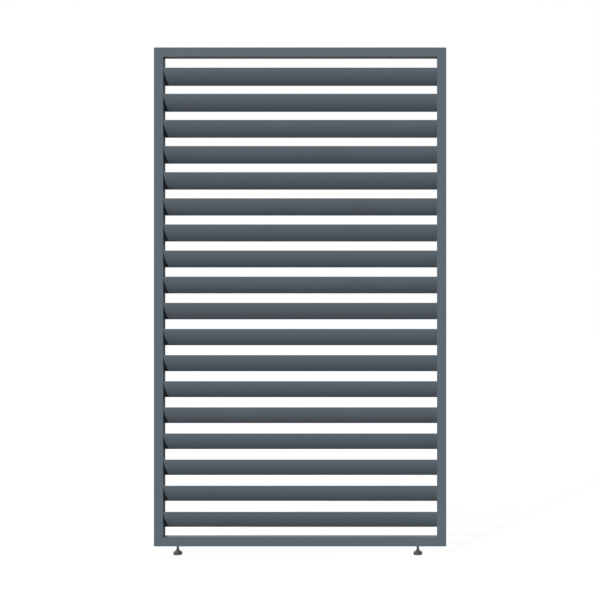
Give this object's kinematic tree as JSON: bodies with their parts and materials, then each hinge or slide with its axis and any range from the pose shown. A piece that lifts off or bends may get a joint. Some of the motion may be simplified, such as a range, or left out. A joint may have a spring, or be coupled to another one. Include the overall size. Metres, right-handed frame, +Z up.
{
  "type": "louvred pergola panel",
  "caption": "Tall louvred screen panel: a square-tube frame round fixed sloping hollow blades, standing on screw-adjusted levelling feet.",
  "frame": {"origin": "on the ground under the middle of the frame", "axes": "+X to the right seen from the front, +Y from the front to the back, +Z up"},
  "size_m": [1.26, 0.04, 2.1885],
  "materials": {
    "frame_coat": "anthracite powder coat, satin",
    "blade_coat": "anthracite powder coat, satin",
    "key_metal": "mill finish",
    "tenon_plastic": "black nylon",
    "insert_steel": "zinc plated",
    "stem_steel": "steel with a dark grey coat",
    "pad_plastic": "dark grey moulded plastic"
  },
  "bodies": {
    "panel_frame": {"left_stile": "frame_coat", "right_stile": "frame_coat", "top_rail": "frame_coat", "bottom_rail": "frame_coat", "top_left_corner_key": "key_metal", "top_right_corner_key": "key_metal", "bottom_right_corner_key": "key_metal", "bottom_left_corner_key": "key_metal", "blade_01": "blade_coat", "blade_02": "blade_coat", "blade_03": "blade_coat", "blade_04": "blade_coat", "blade_05": "blade_coat", "blade_06": "blade_coat", "blade_07": "blade_coat", "blade_08": "blade_coat", "blade_09": "blade_coat", "blade_10": "blade_coat", "blade_11": "blade_coat", "blade_12": "blade_coat", "blade_13": "blade_coat", "blade_14": "blade_coat", "blade_15": "blade_coat", "blade_16": "blade_coat", "blade_17": "blade_coat", "blade_18": "blade_coat", "left_blade_tenons": "tenon_plastic", "right_blade_tenons": "tenon_plastic", "foot_inserts": "insert_steel"},
    "left_pad": {"left_foot_pad": "pad_plastic"},
    "left_stem": {"left_foot_stem": "stem_steel"},
    "right_pad": {"right_foot_pad": "pad_plastic"},
    "right_stem": {"right_foot_stem": "stem_steel"}
  },
  "joints": [
    {"name": "left_foot_slide", "type": "slide", "parent": "panel_frame", "child": "left_pad", "axis": [0, 0, 1], "range_m": [-0.015, 0.012]},
    {"name": "left_stem_turn", "type": "hinge", "parent": "left_pad", "child": "left_stem", "pos_m": [-0.5315, 0, 0], "axis": [0, 0, 1], "range_deg": [-3600, 2880]},
    {"name": "right_foot_slide", "type": "slide", "parent": "panel_frame", "child": "right_pad", "axis": [0, 0, 1], "range_m": [-0.015, 0.012]},
    {"name": "right_stem_turn", "type": "hinge", "parent": "right_pad", "child": "right_stem", "pos_m": [0.507, 0, 0], "axis": [0, 0, 1], "range_deg": [-3600, 2880]}
  ],
  "couplings": [
    {"joint": "left_stem_turn", "follows": "left_foot_slide", "rad_per_m": 4188.8},
    {"joint": "right_stem_turn", "follows": "right_foot_slide", "rad_per_m": 4188.8}
  ]
}
